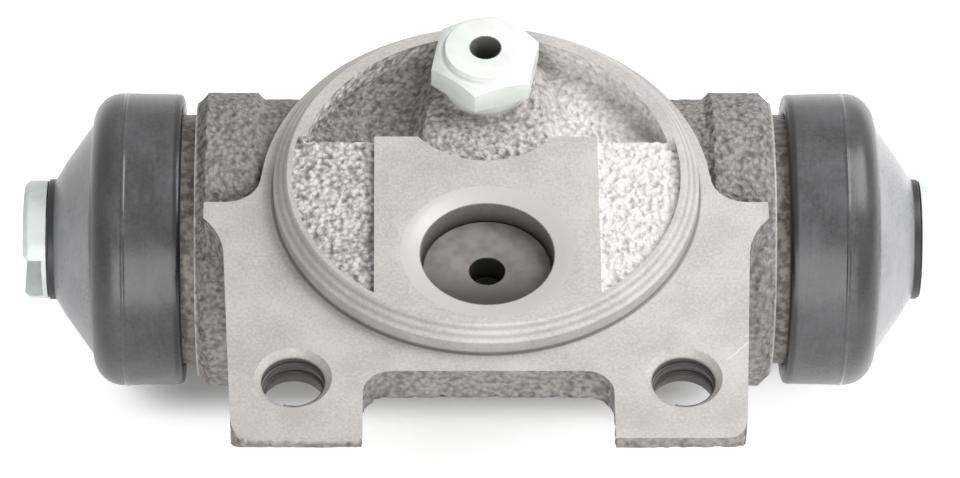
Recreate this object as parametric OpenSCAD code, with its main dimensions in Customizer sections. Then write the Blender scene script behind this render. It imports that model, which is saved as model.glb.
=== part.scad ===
// Wheel cylinder of a drum brake: an iron casting that bolts to the backing plate,
// with two pistons that push the brake shoes apart.
// The origin is the spigot centre on the mounting face. X runs along the bore,
// Y points from the bolt feet to the bleeder, and Z points out of the mounting face.

/* [Barrel] */
// Bore diameter
bore_d = 15.87; // [14.3:0.01:17]
// Distance from the spigot centre back to the bore axis
bore_offset = 5.9; // [5:0.1:7]
// Depth of the bore axis below the mounting face
bore_depth = 12.4; // [12.2:0.1:14]
// Length of the cast barrel between its end faces
barrel_len = 47; // [46:0.5:56]
// Barrel diameter between its end collars
barrel_d = 23.2; // [22:0.1:24]
// Diameter of the end collars
collar_d = 24.3; // [24:0.1:26]
// Width of the end collars
collar_w = 5; // [3:0.1:6]
// Chamfer at the outer edge of the end collars
collar_chamfer = 0.9; // [0.3:0.1:1.5]

/* [Boot necks] */
// Diameter of the machined neck at each end
neck_d = 20.5; // [20:0.1:21.5]
// Length of the neck beyond the end face
neck_len = 4.5; // [4.2:0.1:6]
// Diameter at the bottom of the boot groove
groove_d = 18.9; // [18.5:0.1:19.4]
// Width of the boot groove
groove_w = 1.8; // [1.2:0.1:2]
// Distance from the end face to the boot groove
groove_inset = 2; // [1.6:0.1:2.2]

/* [Mounting flange] */
// Thickness of the flange plate
flange_t = 3.4; // [3:0.1:4.5]
// Diameter of the round face about the spigot
ring_d = 36.2; // [35:0.1:37]
// Width across the shoulders
flange_w = 45.2; // [44:0.1:46.5]
// Distance from the spigot centre forward to the shoulders
shoulder_drop = 1.1; // [0.5:0.1:2]
// Width below the shoulders
waist_w = 41.8; // [41:0.1:43]
// Distance from the shoulders forward to the waist
waist_drop = 5.9; // [5:0.1:7]
// Radius of the hollow under each shoulder
ear_r = 6; // [4.5:0.1:7]
// Width across the feet at the front
foot_w = 40; // [39:0.1:41]
// Distance from the spigot centre to the front of the feet
foot_reach = 25.6; // [24.5:0.1:28]
// Corner radius of the feet
foot_corner_r = 1.6; // [0.5:0.1:2.5]
// Bevel under the front edge of the feet
foot_bevel = 2.1; // [1:0.1:2.5]
// Width of the notch between the feet
notch_w = 19.6; // [17:0.1:21]
// Distance from the spigot centre to the notch
notch_reach = 18.8; // [18.6:0.1:20]
// Corner radius of the notch
notch_r = 2.2; // [1:0.1:3]
// Radius of the blend between shoulder and round face
ring_fillet_r = 2.8; // [1.5:0.1:4]
// Radius of the blend between barrel and flange
web_r = 8; // [6:0.1:9]
// Bottom diameter of the drafted boss under the round face
boss_foot_d = 26; // [22:0.1:30]
// Depth of the drafted boss below the mounting face
boss_depth = 8.4; // [6:0.1:10]

/* [Bolt holes] */
// Distance between the two bolt holes
bolt_spacing = 30.5; // [29:0.1:31.5]
// Distance from the spigot centre to the bolt holes
bolt_reach = 19.5; // [19:0.1:21]
// Diameter of the tapped holes
bolt_hole_d = 5; // [4.2:0.1:5.5]
// Diameter of the chamfer at the top of the holes
bolt_chamfer_d = 6.1; // [5.6:0.1:7]

/* [Spigot] */
// Spigot diameter
spigot_d = 34.1; // [33:0.1:34.6]
// Spigot height above the mounting face
spigot_h = 2.3; // [1.8:0.1:3]
// Chamfer at the top of the spigot
spigot_chamfer = 1.1; // [0.5:0.1:1.3]
// Width of the flat rim about the pockets
rim_w = 1; // [0.6:0.1:1.5]
// Width of the flat rim beside the cast panels
panel_rim_w = 0.4; // [0.2:0.1:0.8]
// Width of the machined strip across the spigot
strip_w = 17.9; // [16:0.1:19]
// Distance from the spigot centre back to the end of the strip
strip_end = 3.9; // [3.4:0.1:4.5]
// Step from the strip down to the cast side panels
panel_drop = 0.5; // [0.3:0.1:1]
// Depth of the cast pockets beside the bleeder
pocket_depth = 2.5; // [1.5:0.1:3]

/* [Bleeder] */
// Distance from the spigot centre back to the bleeder
bleeder_offset = 10.8; // [10:0.1:11.5]
// Width of the bleeder boss at the strip
bleeder_boss_w = 13.4; // [12.6:0.1:15.5]
// Draft angle of the boss flanks
boss_draft = 45; // [35:1:50]
// Angle at which each flank runs in towards the rim
boss_taper = 9; // [0:1:10]
// Step from the strip down to the bleeder boss
bleeder_boss_drop = 1.1; // [0.6:0.1:1.4]
// Diameter of the round relief that the boss cuts into the strip
relief_d = 14; // [12:0.1:16.2]
// Distance from the spigot centre back to the middle of the relief
relief_offset = 8.3; // [8:0.1:9.6]
// Diameter of the bleeder thread hole
bleeder_thread_d = 7; // [6:0.1:7.5]
// Depth of the bleeder seat below the mounting face
bleeder_seat_depth = 2.6; // [2:0.1:3]
// Diameter of the bleed passage
bleed_passage_d = 2.2; // [1.6:0.1:2.6]
// Width across the flats of the hexagon
hex_af = 8; // [7:0.1:9]
// Height of the hexagon
hex_h = 2.8; // [2:0.1:4]
// Gap between the spigot top and the hexagon
hex_gap = 0.3; // [0.2:0.1:1]
// Turn of the hexagon about its axis
hex_turn = 19; // [0:1:59]
// Diameter of the collar under the hexagon
hex_collar_d = 7.6; // [7.2:0.1:7.8]
// Thickness of the collar under the hexagon
hex_collar_t = 0.5; // [0.3:0.1:0.8]
// Diameter of the hole through the bleeder
bleeder_hole_d = 2.5; // [1.8:0.1:3]
// Depth of the cross hole below the mounting face
cross_hole_depth = 1.4; // [0.8:0.1:1.6]
// Diameter of the cross hole
cross_hole_d = 1.6; // [1:0.1:2]

/* [Inlet port] */
// Distance from the spigot centre forward to the port
port_reach = 8.3; // [7.5:0.1:8.4]
// Diameter of the port thread hole
port_thread_d = 9; // [8:0.1:9.6]
// Diameter of the port mouth above the thread
port_mouth_d = 10.6; // [10:0.1:11.2]
// Diameter of the countersink
port_sink_d = 13.9; // [12:0.1:14.5]
// Depth of the countersink
port_sink_depth = 0.4; // [0.2:0.1:1]
// Length of the plain mouth between countersink and thread
port_mouth_len = 2.2; // [1.5:0.1:2.6]
// Depth of the thread hole below the spigot top
port_depth = 9.4; // [9.2:0.1:10.5]
// Wall of the boss about the port below the flange
port_wall = 1.8; // [1.5:0.1:2.6]
// Diameter of the feed drilling to the bore
feed_d = 2.8; // [2:0.1:3.2]
// Depth of the feed drilling below the spigot top
feed_drop = 7.4; // [7:0.1:8]

/* [Pistons] */
// Length of the piston skirt in the bore
piston_len = 13; // [11:0.1:14]
// Diameter of the piston stem
stem_d = 9; // [8.6:0.1:9.2]
// Diameter of the piston head outside the boot
head_d = 9.7; // [9.3:0.1:11]
// Length of the piston head
head_len = 1.9; // [1.7:0.1:4]
// Diameter of the groove for the boot lip
lip_groove_d = 8; // [7.6:0.1:8.3]
// Width of the shoe slot
slot_w = 4.3; // [3.5:0.1:5]
// Depth of the shoe slot
slot_depth = 1.5; // [1:0.1:1.6]
// Chamfer on the piston edges
piston_chamfer = 0.4; // [0.2:0.1:0.6]

/* [Boots] */
// Outer diameter of the boots
boot_d = 24.1; // [23.6:0.1:25]
// Gap between the barrel end face and the boot
boot_gap = 1.1; // [0.5:0.1:1.4]
// Length of the boot skirt past the neck
boot_overhang = 1.6; // [1.2:0.1:3]
// Rubber thickness of the skirt
boot_wall = 1.3; // [0.9:0.1:1.4]
// Length of the rounded shoulder
boot_shoulder_len = 2.4; // [1.8:0.1:3]
// Drop of the rounded shoulder
boot_shoulder_drop = 2.4; // [1.8:0.1:2.8]
// Length of the boot cone
boot_cone_len = 2.4; // [2:0.1:4]
// Length of the nose between the cone and the outer face of the lip
boot_nose_len = 1.3; // [1.2:0.1:2]
// Width of the boot lip
lip_w = 0.7; // [0.5:0.1:0.9]
// Outer diameter of the boot lip
lip_d = 9.9; // [9.8:0.1:11]

/* [Cups and expanders] */
// Length of the cup seals
cup_len = 5.1; // [4.5:0.1:6]
// Thickness of the cup back
cup_back = 1.6; // [1.2:0.1:2]
// Thickness of the cup lip at its root
cup_wall = 1.8; // [1.4:0.1:2.2]
// Sheet thickness of the expanders
sheet_t = 0.6; // [0.5:0.1:0.8]
// Flange diameter of the expanders
expander_d = 13.4; // [12.4:0.1:14]
// Height of the spring guide on the expanders
guide_h = 1.2; // [0.8:0.1:1.6]

/* [Spring] */
// Length of the spring as fitted
spring_len = 15.8; // [14:0.1:18]
// Mean diameter of the coils
spring_d = 10; // [9.6:0.1:10.6]
// Wire diameter
wire_d = 1.2; // [0.9:0.1:1.4]
// Number of turns
spring_turns = 6; // [5:0.5:7]

/* [Hidden] */
$fn = 96;

// Clearances
run_gap = 0.05;
seat_gap = 0.15;
lip_gap = 0.1;
over = 1;
bite = 0.3;

// Places along the bore
end_x = barrel_len / 2;
neck_x = end_x + neck_len;
groove_x = end_x + groove_inset;
boot_x = end_x + boot_gap;
shoulder_x = neck_x + boot_overhang;
cone_x = shoulder_x + boot_shoulder_len;
nose_x = cone_x + boot_cone_len;
lip_x = nose_x + boot_nose_len;
tip_x = lip_x + lip_gap + head_len;
seat_x = spring_len / 2 + seat_gap;
cup_x = seat_x + sheet_t + seat_gap;
piston_x = cup_x + cup_len;

// Radii and heights that several pieces share
bore_r = bore_d / 2;
barrel_r = barrel_d / 2;
collar_r = collar_d / 2;
neck_r = neck_d / 2;
ring_r = ring_d / 2;
spigot_r = spigot_d / 2;
rim_r = spigot_r - spigot_chamfer - rim_w;
panel_r = spigot_r - spigot_chamfer - panel_rim_w;
boss_top = spigot_h - bleeder_boss_drop;
piston_r = bore_r - run_gap;
stem_r = stem_d / 2;
thread_r = bleeder_thread_d / 2;
passage_r = bleed_passage_d / 2;
port_r = port_thread_d / 2;
port_tip = port_r * tan(31);
cup_hollow_r = piston_r - cup_wall;
neck_chamfer = 0.5;

// Stands children up along the bore, with their own Z along X
module along_bore() {
    translate([0, bore_offset, -bore_depth])
        rotate([0, 90, 0])
            children();
}

// Turns a half section of [radius, place along the bore] points about the bore axis
module turned(points) {
    along_bore() rotate_extrude() polygon(points);
}

// Puts a piece that is drawn on the right at the left or right end
module at_end(side) {
    mirror([side == "left" ? 1 : 0, 0, 0]) children();
}

// A square corner less its inscribed round, at the origin and filling the first quadrant
module corner_fill(r) {
    difference() {
        translate([-bite, -bite]) square(r + bite);
        translate([r, r]) circle(r);
    }
}

// Cast barrel with end collars and machined boot necks
module barrel() {
    collar_x = end_x - collar_w;
    collar_ramp = collar_r - barrel_r;
    half = [
        [barrel_r, collar_x - collar_ramp],
        [collar_r, collar_x],
        [collar_r, end_x - collar_chamfer],
        [collar_r - collar_chamfer, end_x],
        [neck_r, end_x],
        [neck_r, groove_x],
        [groove_d / 2, groove_x],
        [groove_d / 2, groove_x + groove_w],
        [neck_r, groove_x + groove_w],
        [neck_r, neck_x - neck_chamfer],
        [neck_r - neck_chamfer, neck_x],
        [0, neck_x]
    ];
    last = len(half) - 1;
    turned(concat([for (i = [last:-1:0]) [half[i][0], -half[i][1]]], half));
}

// Round face, spigot and the drafted boss below them
module spigot_boss() {
    rotate_extrude() polygon([
        [0, -boss_depth],
        [boss_foot_d / 2, -boss_depth],
        [ring_r, -flange_t],
        [ring_r, 0],
        [spigot_r, 0],
        [spigot_r, spigot_h - spigot_chamfer],
        [spigot_r - spigot_chamfer, spigot_h],
        [0, spigot_h]
    ]);
}

// Boss about the lower end of the inlet port, pointed like the drilling inside it
module port_boss() {
    r = port_r + port_wall;
    floor_z = spigot_h - port_depth;
    translate([0, -port_reach, 0]) rotate_extrude() polygon([
        [0, -flange_t / 2],
        [r, -flange_t / 2],
        [r, floor_z],
        [port_wall, floor_z - port_tip - port_wall],
        [0, floor_z - port_tip - port_wall]
    ]);
}

// Notch between the feet, with round inner corners
module notch_outline() {
    reach = foot_reach - notch_reach + over;
    translate([-notch_w / 2, -foot_reach - over]) {
        square([notch_w, reach - notch_r]);
        translate([notch_r, 0]) square([notch_w - 2 * notch_r, reach]);
        for (x = [notch_r, notch_w - notch_r])
            translate([x, reach - notch_r]) circle(notch_r);
    }
}

// One half of the flange plate, without the round face
module flange_half() {
    waist_y = -shoulder_drop - waist_drop;
    difference() {
        polygon([
            [0, -shoulder_drop],
            [flange_w / 2, -shoulder_drop],
            [flange_w / 2, waist_y],
            [waist_w / 2, waist_y],
            [foot_w / 2, -foot_reach],
            [0, -foot_reach]
        ]);
        translate([waist_w / 2 + ear_r, waist_y]) circle(ear_r);
        translate([foot_w / 2, -foot_reach]) rotate(90) corner_fill(foot_corner_r);
    }
    translate([sqrt(ring_r * ring_r - shoulder_drop * shoulder_drop), -shoulder_drop])
        corner_fill(ring_fillet_r);
}

// Wedge that leaves the bevel under the front of the feet
module foot_bevel_cut() {
    translate([-flange_w / 2, -foot_reach, -flange_t])
        rotate([90, 0, 90]) linear_extrude(flange_w) polygon([
            [-over, foot_bevel + over],
            [foot_bevel + over, -over],
            [-over, -over]
        ]);
}

// Flange plate with shoulders, feet and notch
module flange() {
    difference() {
        translate([0, 0, -flange_t]) linear_extrude(flange_t) difference() {
            union() {
                flange_half();
                mirror([1, 0]) flange_half();
            }
            notch_outline();
        }
        foot_bevel_cut();
    }
}

// Blend that carries the flange on the barrel
module flange_web() {
    hollow_y = bore_offset - barrel_r - web_r + bite;
    hollow_z = -flange_t - web_r + bite;
    w = foot_w - 2 * foot_corner_r;
    difference() {
        translate([-w / 2, hollow_y, hollow_z])
            cube([w, bore_offset - hollow_y, web_r]);
        translate([-w / 2 - over, hollow_y, hollow_z])
            rotate([0, 90, 0]) cylinder(r = web_r, h = w + 2 * over);
    }
}

// Through bore with a lead-in at each end
module bore_cut() {
    lead = 0.5;
    turned([
        [0, -neck_x - over],
        [bore_r + lead + over, -neck_x - over],
        [bore_r, -neck_x + lead],
        [bore_r, neck_x - lead],
        [bore_r + lead + over, neck_x + over],
        [0, neck_x + over]
    ]);
}

// Tapped bolt hole with its chamfer
module bolt_cut() {
    chamfer = (bolt_chamfer_d - bolt_hole_d) / 2;
    rotate_extrude() polygon([
        [0, -flange_t - over],
        [bolt_hole_d / 2, -flange_t - over],
        [bolt_hole_d / 2, -chamfer],
        [bolt_chamfer_d / 2, 0],
        [bolt_chamfer_d / 2, over],
        [0, over]
    ]);
}

// Cast pocket on the right of the bleeder, up to the drafted flank of the boss
module pocket() {
    floor_z = spigot_h - pocket_depth;
    intersection() {
        translate([0, strip_end, floor_z]) linear_extrude(pocket_depth + over) intersection() {
            translate([0, -strip_end]) circle(rim_r);
            square(spigot_d);
        }
        translate([bleeder_boss_w / 2, strip_end, floor_z])
            rotate([0, 0, boss_taper]) rotate([0, -boss_draft, 0])
                translate([0, -spigot_d, -spigot_d]) cube(2 * spigot_d);
    }
}

// Cast panels, pockets and bleeder boss below the machined rim and strip
module spigot_recess() {
    depth = spigot_h + over;
    translate([0, 0, spigot_h - panel_drop]) linear_extrude(depth) difference() {
        circle(panel_r);
        translate([-strip_w / 2, -spigot_r]) square([strip_w, spigot_d]);
        translate([-spigot_r, strip_end]) square(spigot_d);
    }
    pocket();
    mirror([1, 0, 0]) pocket();
    translate([0, 0, boss_top]) linear_extrude(depth) intersection() {
        circle(rim_r);
        union() {
            translate([-spigot_r, strip_end]) square([spigot_d, spigot_r]);
            translate([0, relief_offset]) circle(d = relief_d);
        }
    }
}

// Threaded inlet with its countersink and the feed drilling that meets the bore axis
module port_cut() {
    step_z = spigot_h - port_sink_depth - port_mouth_len;
    floor_z = spigot_h - port_depth;
    wall_y = -port_reach + port_r;
    wall_z = spigot_h - feed_drop;
    run = [bore_offset - wall_y, -bore_depth - wall_z];
    back = 1.5;
    translate([0, -port_reach, 0]) rotate_extrude() polygon([
        [0, floor_z - port_tip],
        [port_r, floor_z],
        [port_r, step_z],
        [port_mouth_d / 2, step_z],
        [port_mouth_d / 2, spigot_h - port_sink_depth],
        [port_sink_d / 2, spigot_h],
        [port_sink_d / 2, spigot_h + over],
        [0, spigot_h + over]
    ]);
    translate([0, wall_y, wall_z])
        rotate([atan2(run[0], -run[1]) - 180, 0, 0])
            translate([0, 0, -back]) cylinder(d = feed_d, h = norm(run) + back);
}

// Thread hole, seat and passage of the bleeder
module bleeder_cut() {
    seat_z = -bleeder_seat_depth;
    translate([0, bleeder_offset, 0]) rotate_extrude() polygon([
        [0, -bore_depth],
        [passage_r, -bore_depth],
        [passage_r, seat_z - thread_r + passage_r],
        [thread_r, seat_z],
        [thread_r, spigot_h + over],
        [0, spigot_h + over]
    ]);
}

// Iron casting
module body_casting() {
    color("darkgray") difference() {
        union() {
            barrel();
            spigot_boss();
            port_boss();
            flange();
            flange_web();
        }
        bore_cut();
        for (x = [-1, 1])
            translate([x * bolt_spacing / 2, -bolt_reach, 0]) bolt_cut();
        spigot_recess();
        port_cut();
        bleeder_cut();
    }
}

// Hexagon of the bleeder with its edges turned off at the top
module bleeder_hexagon(z) {
    hex_r = hex_af / 2 / cos(30);
    round_off = hex_r - hex_af * 0.47;
    translate([0, 0, z]) intersection() {
        rotate(hex_turn) cylinder(r = hex_r, h = hex_h, $fn = 6);
        rotate_extrude() polygon([
            [0, 0],
            [hex_r + over, 0],
            [hex_r + over, hex_h - (round_off + over) * tan(30)],
            [hex_r - round_off, hex_h],
            [0, hex_h]
        ]);
    }
}

// Bleed screw: hexagon, shank and seat cone, drilled down the middle
module bleeder_screw() {
    shank_r = thread_r - run_gap;
    nose_r = passage_r + 2 * run_gap;
    cone_z = shank_r - thread_r - bleeder_seat_depth + run_gap * sqrt(2);
    hex_z = spigot_h + hex_gap;
    top_z = hex_z + hex_h;
    hole_r = bleeder_hole_d / 2;
    color("gainsboro") translate([0, bleeder_offset, 0]) difference() {
        union() {
            rotate_extrude() polygon([
                [0, cone_z - shank_r + nose_r],
                [nose_r, cone_z - shank_r + nose_r],
                [shank_r, cone_z],
                [shank_r, hex_z - hex_collar_t],
                [hex_collar_d / 2, hex_z - hex_collar_t],
                [hex_collar_d / 2, hex_z + bite],
                [0, hex_z + bite]
            ]);
            bleeder_hexagon(hex_z);
        }
        translate([0, 0, -cross_hole_depth]) cylinder(r = hole_r, h = top_z + cross_hole_depth + over);
        translate([0, 0, -cross_hole_depth]) rotate([90, 0, 0])
            cylinder(d = cross_hole_d, h = 2 * bleeder_thread_d, center = true);
    }
}

// Piston with skirt, stem, lip groove and slotted head
module piston(side) {
    c = piston_chamfer;
    front_x = piston_x + piston_len;
    groove_in = lip_x - lip_w - lip_gap;
    groove_out = lip_x + lip_gap;
    head_r = head_d / 2;
    color("lightgray") at_end(side) difference() {
        turned([
            [0, piston_x],
            [piston_r - c, piston_x],
            [piston_r, piston_x + c],
            [piston_r, front_x - c],
            [piston_r - c, front_x],
            [stem_r, front_x],
            [stem_r, groove_in],
            [lip_groove_d / 2, groove_in],
            [lip_groove_d / 2, groove_out],
            [head_r, groove_out],
            [head_r, tip_x - c],
            [head_r - c, tip_x],
            [0, tip_x]
        ]);
        translate([tip_x - slot_depth, bore_offset - head_d, -bore_depth - slot_w / 2])
            cube([slot_depth + over, 2 * head_d, slot_w]);
    }
}

// Rubber cup with its lip towards the middle of the bore
module cup_seal(side) {
    floor_x = cup_x + cup_len - cup_back;
    lip_t = cup_wall / 3;
    relief = 0.3;
    color("#2b2b2b") at_end(side) turned([
        [0, floor_x],
        [cup_hollow_r, floor_x],
        [piston_r - lip_t, cup_x],
        [piston_r, cup_x],
        [piston_r, floor_x],
        [piston_r - relief, cup_x + cup_len],
        [0, cup_x + cup_len]
    ]);
}

// Pressed steel seat: spring guide, flange, and skirt that stands in the cup
module cup_expander(side) {
    floor_x = cup_x + cup_len - cup_back;
    guide_r = (spring_d - wire_d) / 2 - seat_gap;
    skirt_r = min(cup_hollow_r, expander_d / 2) - seat_gap;
    color("silver") at_end(side) turned([
        [guide_r - sheet_t, seat_x - guide_h],
        [guide_r, seat_x - guide_h],
        [guide_r, seat_x],
        [expander_d / 2, seat_x],
        [expander_d / 2, seat_x + sheet_t],
        [skirt_r, seat_x + sheet_t],
        [skirt_r, floor_x],
        [skirt_r - sheet_t, floor_x],
        [skirt_r - sheet_t, seat_x + sheet_t],
        [guide_r - sheet_t, seat_x + sheet_t]
    ]);
}

// Dust boot: bead in the neck groove, skirt, rounded shoulder, cone and lip on the piston
module dust_boot(side) {
    r = boot_d / 2;
    arc = [for (a = [0:16:80]) [1 - cos(a), sin(a)]];
    outer_arc = [for (p = arc) [r - boot_shoulder_drop * p[0], shoulder_x + boot_shoulder_len * p[1]]];
    inner_arc = [for (i = [len(arc) - 1:-1:0]) [
        r - boot_wall - (boot_shoulder_drop - boot_wall / 2) * arc[i][0],
        shoulder_x + (boot_shoulder_len - boot_wall) * arc[i][1]
    ]];
    cone_top_r = r - boot_shoulder_drop - seat_gap;
    cone_end_r = lip_d / 2 + boot_nose_len;
    inside_r = stem_r + bite;
    bead_in = groove_x + lip_gap;
    bead_out = groove_x + groove_w - lip_gap;
    color("#4a4a4a") at_end(side) turned(concat(
        [[r - seat_gap, boot_x]],
        outer_arc,
        [
            [cone_top_r, cone_x],
            [cone_end_r, nose_x],
            [lip_d / 2 + bite, lip_x - lip_w],
            [lip_d / 2, lip_x - lip_w / 2],
            [lip_d / 2, lip_x],
            [lip_groove_d / 2 + seat_gap, lip_x],
            [lip_groove_d / 2 + seat_gap, lip_x - lip_w],
            [inside_r, lip_x - lip_w - lip_gap],
            [inside_r, nose_x + bite],
            [cone_end_r - boot_wall / 2, nose_x - boot_wall / 2],
            [cone_top_r - boot_wall / 2, cone_x - boot_wall / 2]
        ],
        inner_arc,
        [
            [neck_r + seat_gap, neck_x + bite],
            [neck_r + seat_gap, bead_out],
            [groove_d / 2 + seat_gap, bead_out],
            [groove_d / 2 + seat_gap, bead_in],
            [neck_r + seat_gap, bead_in],
            [neck_r + seat_gap, boot_x]
        ]
    ));
}

// Coil spring between the expanders, with one closed turn at each end
module return_spring() {
    sides = 8;
    steps = 22;
    rings = spring_turns * steps;
    wire_r = wire_d / 2;
    reach = spring_len / 2 - wire_r;
    closed = wire_d * 1.04;
    pitch = (2 * reach - 2 * closed) / (spring_turns - 2);
    function place(t) = t < 1 ? -reach + closed * t
        : t > spring_turns - 1 ? reach - closed * (spring_turns - t)
        : -reach + closed + pitch * (t - 1);
    function wire_point(t, a) = let (r = spring_d / 2 + wire_r * cos(a))
        [r * cos(360 * t), r * sin(360 * t), place(t) + wire_r * sin(a)];
    points = [for (i = [0:rings], k = [0:sides - 1]) wire_point(i / steps, 360 * k / sides)];
    function at(i, k) = i * sides + k % sides;
    walls = [for (i = [0:rings - 1], k = [0:sides - 1]) each [
        [at(i, k), at(i, k + 1), at(i + 1, k)],
        [at(i, k + 1), at(i + 1, k + 1), at(i + 1, k)]
    ]];
    first = [for (k = [sides - 1:-1:0]) at(0, k)];
    end = [for (k = [0:sides - 1]) at(rings, k)];
    color("slategray") along_bore() polyhedron(points, concat([first], walls, [end]));
}

body_casting();
bleeder_screw();
return_spring();
piston("left");  // left_piston
piston("right");  // right_piston
cup_seal("left");  // left_cup_seal
cup_seal("right");  // right_cup_seal
cup_expander("left");  // left_cup_expander
cup_expander("right");  // right_cup_expander
dust_boot("left");  // left_dust_boot
dust_boot("right");  // right_dust_boot
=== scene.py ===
import math

import bmesh
import bpy
import numpy as np
from mathutils import Matrix, Vector, noise


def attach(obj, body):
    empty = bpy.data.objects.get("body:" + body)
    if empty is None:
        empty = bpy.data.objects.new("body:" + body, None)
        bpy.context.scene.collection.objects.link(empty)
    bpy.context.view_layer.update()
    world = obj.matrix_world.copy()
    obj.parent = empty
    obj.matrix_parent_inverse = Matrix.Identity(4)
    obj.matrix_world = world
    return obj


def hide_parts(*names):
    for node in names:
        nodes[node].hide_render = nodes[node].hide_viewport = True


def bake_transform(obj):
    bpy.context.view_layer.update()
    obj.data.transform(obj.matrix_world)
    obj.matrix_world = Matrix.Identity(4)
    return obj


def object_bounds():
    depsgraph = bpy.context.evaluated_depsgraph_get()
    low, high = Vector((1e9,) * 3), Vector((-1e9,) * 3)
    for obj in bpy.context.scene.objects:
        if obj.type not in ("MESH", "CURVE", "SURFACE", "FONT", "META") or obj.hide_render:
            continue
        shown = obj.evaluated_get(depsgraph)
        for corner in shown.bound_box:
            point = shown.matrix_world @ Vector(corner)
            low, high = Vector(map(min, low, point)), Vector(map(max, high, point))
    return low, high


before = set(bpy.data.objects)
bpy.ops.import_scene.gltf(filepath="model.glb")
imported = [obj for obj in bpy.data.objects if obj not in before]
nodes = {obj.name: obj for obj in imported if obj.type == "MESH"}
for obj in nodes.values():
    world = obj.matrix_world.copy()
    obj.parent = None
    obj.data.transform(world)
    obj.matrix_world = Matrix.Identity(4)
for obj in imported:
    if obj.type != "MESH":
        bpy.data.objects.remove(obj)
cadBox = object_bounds()  # the solids' own box, before anything is dressed
scene = bpy.context.scene
mm = 0.001
print("frame loaded with", len(nodes), "nodes")

# sizes carried over from the solids, in mm
plan = {
    "boreY": 5.9, "boreZ": -12.4, "boreR": 7.935,
    "endX": 23.5, "footY": -25.6, "flangeT": 3.4,
    "spigotR": 17.05, "spigotChamfer": 1.1, "spigotH": 2.3,
    "rimR": 14.95, "panelR": 15.55, "panelZ": 1.8, "pocketZ": -0.2,
    "boltX": 15.25, "boltY": -19.5, "boltR": 2.5, "boltTopR": 3.05,
    "portY": -8.3, "portR": 4.5, "portSinkR": 6.95, "portMouthR": 5.3,
    "portMouthZ": -0.3, "portFloorZ": -7.1, "portDrillSlope": 0.61,
    "bleedY": 10.8, "bleedR": 3.5, "bleedHoleR": 1.25, "bleedTopZ": 5.4, "bleedFloorZ": -9,
    "feedR": 1.4, "feedY": -3.8, "feedZ": -5.1,
    "springLen": 15.8, "springR": 5.0, "wireR": 0.6, "springTurns": 6,
}


def lit(r, g, b):
    # screen colour 0 to 255 to the linear value that nodes take
    def one(v):
        v = v / 255
        return v / 12.92 if v <= 0.04045 else ((v + 0.055) / 1.055) ** 2.4
    return (one(r), one(g), one(b), 1.0)


# sockets that take part in sums, and the node maker behind them
class Wire:
    def __init__(self, graph, socket):
        self.graph = graph
        self.socket = socket

    def sum(self, operation, *others, flipped=False):
        terms = [self, *others]
        if flipped:
            terms.reverse()
        return self.graph.add("ShaderNodeMath", {"operation": operation}, dict(enumerate(terms)))

    def __add__(self, other):
        return self.sum("ADD", other)

    def __sub__(self, other):
        return self.sum("SUBTRACT", other)

    def __mul__(self, other):
        return self.sum("MULTIPLY", other)

    def __truediv__(self, other):
        return self.sum("DIVIDE", other)

    def __pow__(self, other):
        return self.sum("POWER", other)

    def __rsub__(self, other):
        return self.sum("SUBTRACT", other, flipped=True)

    def __rtruediv__(self, other):
        return self.sum("DIVIDE", other, flipped=True)

    __radd__ = __add__
    __rmul__ = __mul__

    def of(self, name):  # another output of the same node
        return Wire(self.graph, self.socket.node.outputs[name])


class Graph:
    def __init__(self, tree):
        self.tree = tree

    def add(self, kind, settings=None, inputs=None, out=0):
        node = self.tree.nodes.new(kind)
        for name, value in (settings or {}).items():
            setattr(node, name, value)
        for name, value in (inputs or {}).items():
            if isinstance(value, Wire):
                self.tree.links.new(value.socket, node.inputs[name])
            else:
                node.inputs[name].default_value = value
        return Wire(self, node.outputs[out]) if len(node.outputs) else None

    def within(self, value, low, high, toLow=0.0, toHigh=1.0):  # goes smoothly from toLow to toHigh
        return self.add("ShaderNodeMapRange", {"interpolation_type": "SMOOTHSTEP"},
                        {0: value, 1: low, 2: high, 3: toLow, 4: toHigh})

    def past(self, value, edge, soft):  # 0 up to the edge, 1 from soft beyond it
        return self.within(value, edge, edge + soft)

    def before(self, value, edge, soft):  # 1 up to the edge, 0 from soft beyond it
        return self.within(value, edge, edge + soft, 1.0, 0.0)

    def mix(self, share, one, other):
        return self.add("ShaderNodeMix", {"data_type": "RGBA"}, {0: share, 6: one, 7: other}, out=2)

    def place(self):
        return self.add("ShaderNodeTexCoord", out="Object")

    def spot(self, place, axes="XYZ"):  # the coordinates of a place in mm
        xyz = self.add("ShaderNodeSeparateXYZ", None, {0: place})
        return [xyz.of(axis) / mm for axis in axes]

    def painted(self, name, out="Fac"):  # an attribute of the piece's own points
        return self.add("ShaderNodeAttribute", {"attribute_name": name}, out=out)

    def grain(self, place, size, detail=3.0, rough=0.55):  # noise whose lumps are size mm across
        return self.add("ShaderNodeTexNoise", None,
                        {"Vector": place, "Scale": 1 / (size * mm), "Detail": detail, "Roughness": rough})

    def bump(self, height, depth, strength=1.0):
        return self.add("ShaderNodeBump", None,
                        {"Height": height, "Distance": depth * mm, "Strength": strength})


def reach(across, along):  # distance from an axis
    return (across * across + along * along) ** 0.5


def newFinish(name):
    finish = bpy.data.materials.new(name)
    finish.use_nodes = True
    finish.node_tree.nodes.clear()
    return finish, Graph(finish.node_tree)


def closeFinish(graph, inputs):
    shader = graph.add("ShaderNodeBsdfPrincipled", None, inputs)
    graph.add("ShaderNodeOutputMaterial", None, {"Surface": shader})


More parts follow.
